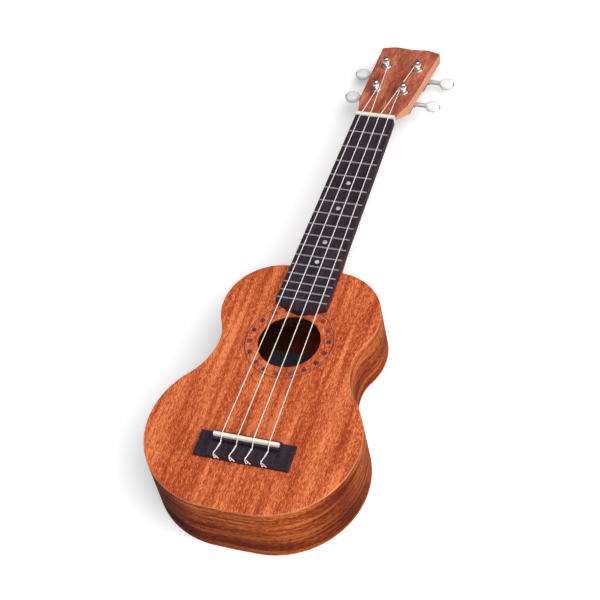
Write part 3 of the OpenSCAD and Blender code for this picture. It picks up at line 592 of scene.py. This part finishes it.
def coil(letter, bend):
    """The turns of a string on its post, from the free end to the run towards the bend at the nut."""
    joint = JOINTS["post_turn_" + letter]
    post = TO_INSTRUMENT @ Vector(joint["pos_m"])
    axis = (TO_INSTRUMENT.to_3x3() @ Vector(joint["axis"])).normalized()
    ahead = axis.cross(Vector((1, 0, 0)))
    points = [p - post for p in points_of("string_" + letter)]
    heights = [(p.dot(axis), (p - axis * p.dot(axis)).length) for p in points]
    wound = [(h, r) for h, r in heights if r < POST_REACH]
    radius = min(r for h, r in wound) + STRING_RADIUS
    top = max(h for h, r in wound) - STRING_RADIUS
    side = POST_SIDE[letter]
    run = post - bend
    across, along = run.x, run.dot(ahead)
    touch = math.atan2(along, across) + math.pi
    touch -= side * (math.pi / 2 - math.asin(radius / math.hypot(across, along)))
    turns = []
    for k in range(round(COIL_TURNS * COIL_STEPS) + 1):
        a = touch - side * 2 * math.pi * (COIL_TURNS - k / COIL_STEPS)
        height = top - COIL_PITCH * k / COIL_STEPS
        spoke = math.cos(a) * Vector((1, 0, 0)) + math.sin(a) * ahead
        turns.append(post + radius * spoke + height * axis)
    return turns


def over_saddle(x):
    """The string's bend round the saddle's crest."""
    low, high = extent("saddle")
    crest = (high.y - low.y) / 2
    radius = crest + STRING_RADIUS + SADDLE_CLEAR
    centre = Vector((x, (low.y + high.y) / 2, high.z - crest))
    turns = [math.radians(SADDLE_BEND * k / SADDLE_STEPS) for k in range(SADDLE_STEPS + 1)]
    return [centre + radius * Vector((0, -math.sin(a), math.cos(a))) for a in turns]


def tie_knot(x):
    """Through the tie block, up its rear face, forward under the string and back again to a loose end."""
    low, high = extent("bridge")
    rear, top = low.y, high.z
    front = rear + 10.6 * MM
    hole = top - 2.2 * MM
    steps = [
        (0, front, hole),
        (0, rear - 0.5 * MM, hole),
        (-1.2, rear - 0.55 * MM, hole + 0.8 * MM),
        (-1.7, rear + 0.5 * MM, top + 0.45 * MM),
        (-0.9, rear + 5.0 * MM, top + 0.5 * MM),
        (-0.2, front - 0.6 * MM, top + 0.5 * MM),
        (0.3, front + 0.7 * MM, top + 0.5 * MM),
        (0.7, front - 0.4 * MM, top + 1.0 * MM),
        (-0.3, rear + 5.0 * MM, top + 1.2 * MM),
        (-1.5, rear + 1.6 * MM, top + 1.2 * MM),
        (-1.2, rear + 0.1 * MM, top + 1.1 * MM),
        (1.2, rear - 1.2 * MM, top + 0.8 * MM),
        (3.8, rear - 2.6 * MM, top + 0.2 * MM),
    ]
    return [Vector((x + aside * MM, y, z)) for aside, y, z in steps]


def make_string(letter):
    """One string, from its end on the post over nut and saddle to its knot."""
    name = "string_" + letter
    points = points_of(name)
    nut_y = extent("nut")[0].y
    bend = middle_of([p for p in points if abs(p.y - nut_y) < 0.5 * MM])
    saddle_low, saddle_high = extent("saddle")
    x = middle_of([p for p in points if saddle_low.y < p.y < saddle_high.y]).x
    wound = coil(letter, bend)
    straight = [bend.lerp(over_saddle(x)[0], share) for share in (0, 0.25, 0.5, 0.75)]
    path = [*wound, *straight, *over_saddle(x), *smooth_line(tie_knot(x), 8)]
    stand_in(cord("smooth_" + name, path, STRING_RADIUS), name, "instrument")


# ---- Tuner buttons -------------------------------------------------------------------------------
BUTTON_SIDES = 48
BUTTON_LEVELS = 18
# Powers that square off the outline and the rim, and the share of its width that the button loses inwards
BUTTON_OUTLINE = 0.85
BUTTON_RIM = 0.42
BUTTON_DOME = 0.9
BUTTON_TAPER = 0.08
COLLAR_RADIUS = 2.2 * MM
COLLAR_LENGTH = 3 * MM


def power(value, exponent):
    """A power that keeps the sign."""
    return math.copysign(abs(value) ** exponent, value)


def add_shell(rings, vertices, faces):
    """Adds a closed round shell through the rings, of which the first and the last are single points."""
    starts = []
    for ring in rings:
        starts.append(len(vertices))
        vertices.extend(ring)
    for k in range(len(rings) - 1):
        low, high = len(rings[k]), len(rings[k + 1])
        for j in range(BUTTON_SIDES):
            corners = [starts[k] + j % low, starts[k] + (j + 1) % BUTTON_SIDES % low,
                       starts[k + 1] + (j + 1) % BUTTON_SIDES % high, starts[k + 1] + j % high]
            faces.append(tuple(dict.fromkeys(corners)))


def button_edge(a, half_long, half_wide):
    """A point of the outline: a squared oval that narrows towards the shaft."""
    taper = 1 - BUTTON_TAPER + BUTTON_TAPER * math.cos(a)
    forward = power(math.cos(a), BUTTON_OUTLINE)
    return forward * half_long + taper * power(math.sin(a), BUTTON_OUTLINE) * half_wide


def make_button(letter):
    """A flat pebble, a little wider at its outer end, with a round collar on the shaft."""
    name = "tuner_button_" + letter
    axis = Vector(JOINTS["button_turn_" + letter]["pos_m"])
    out = Vector((POST_SIDE[letter], 0, 0))
    through = Vector(JOINTS["post_turn_" + letter]["axis"]).normalized()
    across = through.cross(out)
    points = [v.co - axis for v in NODES[name].data.vertices]
    inner = min(p.dot(out) for p in points)
    outer = max(p.dot(out) for p in points)
    half_long = (outer - inner) / 2
    half_wide = max(abs(p.dot(across)) for p in points)
    half_thick = max(abs(p.dot(through)) for p in points)
    middle = axis + out * (inner + outer) / 2
    turns = [2 * math.pi * j / BUTTON_SIDES for j in range(BUTTON_SIDES)]
    body = [[middle - half_thick * through]]
    for k in range(1, BUTTON_LEVELS):
        slope = math.pi * (k / BUTTON_LEVELS - 0.5)
        share = math.cos(slope) ** BUTTON_RIM
        centre = middle + half_thick * power(math.sin(slope), BUTTON_DOME) * through
        body.append([centre + share * button_edge(a, half_long * out, half_wide * across) for a in turns])
    body.append([middle + half_thick * through])
    start = axis + inner * out
    collar = [[start]]
    for forward, radius in ((0, 0.8), (0.1 * MM, 0.93), (0.35 * MM, 1), (COLLAR_LENGTH, 1)):
        collar.append([start + forward * out + COLLAR_RADIUS * radius
                       * (math.cos(a) * across + math.sin(a) * through) for a in turns])
    collar.append([start + COLLAR_LENGTH * out])
    vertices = []
    faces = []
    add_shell(body, vertices, faces)
    add_shell(collar, vertices, faces)
    mesh = bpy.data.meshes.new("pebble_" + name)
    mesh.from_pydata(vertices, [], faces)
    shape = bmesh.new()
    shape.from_mesh(mesh)
    bmesh.ops.recalc_face_normals(shape, faces=shape.faces)
    shape.to_mesh(mesh)
    shape.free()
    mesh.polygons.foreach_set("use_smooth", [True] * len(faces))
    stand_in(add_object("pebble_" + name, mesh), name, name)


# ---- Scene ---------------------------------------------------------------------------------------
for name, part in NODES.items():
    part.data.materials.clear()
    part.data.materials.append(MATERIALS[LOOKS.get(family(name), SLOTS[name])])
    soften(part, EDGE_WIDTHS.get(family(name), DEFAULT_EDGE) * MM)

for string in STRINGS:
    make_string(string)
    make_button(string)

make_camera()
make_world(direction(70, 47), 0.10, 3.7, 3.6)
make_floor()
bpy.context.scene.view_settings.view_transform = "Standard"
